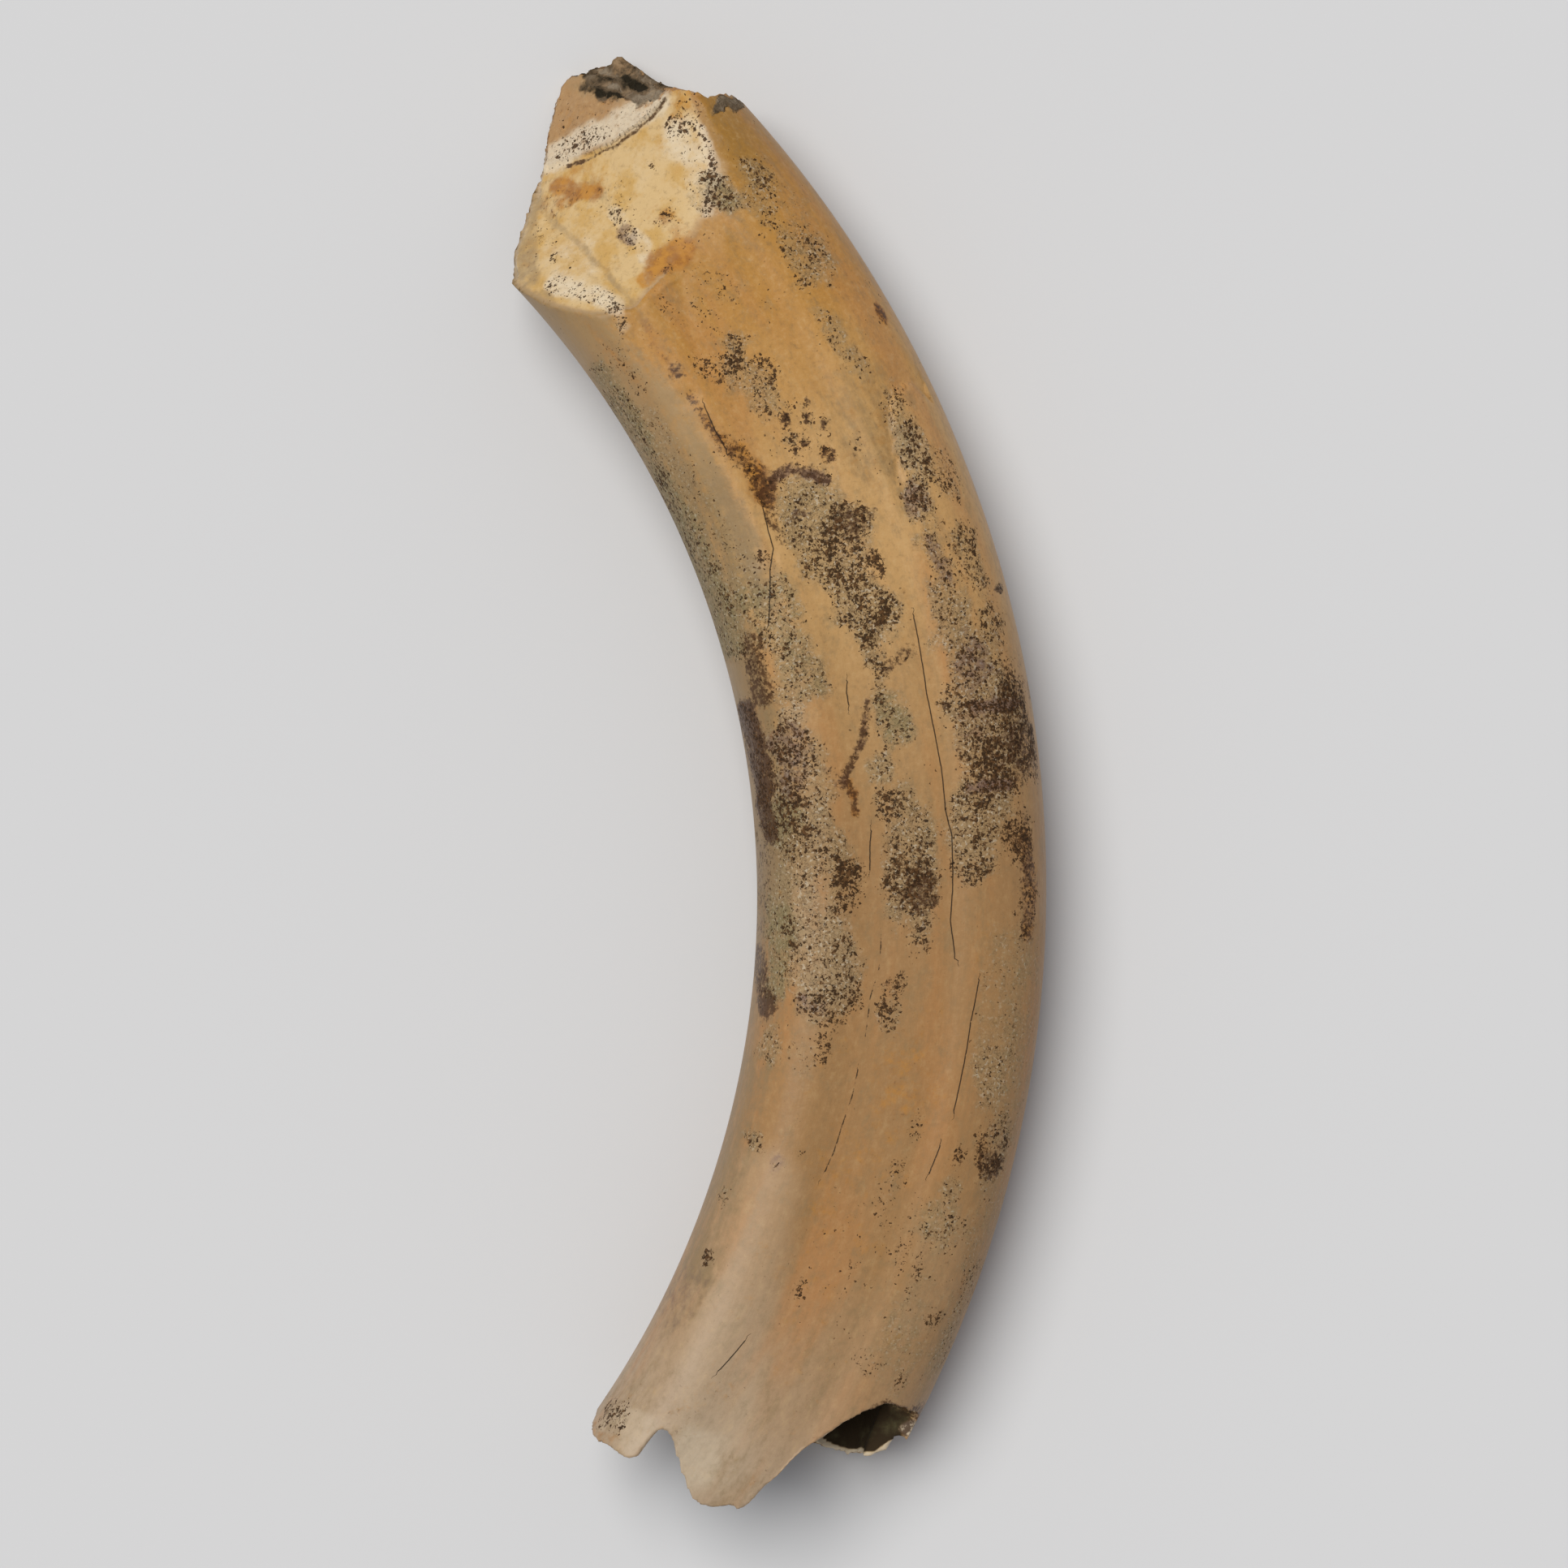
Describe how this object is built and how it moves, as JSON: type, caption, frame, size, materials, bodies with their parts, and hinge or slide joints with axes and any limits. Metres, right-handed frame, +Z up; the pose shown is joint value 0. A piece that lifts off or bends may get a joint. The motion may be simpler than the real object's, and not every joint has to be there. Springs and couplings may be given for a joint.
{
  "type": "fossil ground sloth tooth",
  "caption": "Curved fossil canine-like tooth of a giant ground sloth, with an oblique worn face, a broken tip and an open hollow root.",
  "frame": {"origin": "under the middle of the bounding box, on the surface that the tooth lies on", "axes": "+Z up from that surface, +Y from the open root towards the worn crown, +X towards the convex side"},
  "size_m": [0.0697, 0.1891, 0.0288],
  "materials": {
    "fossil_dentine": "smooth, half-glossy tan fossil dentine with cream wear bands and dark mineral speckle"
  },
  "bodies": {
    "root": {"tooth": "fossil_dentine"}
  },
  "joints": []
}
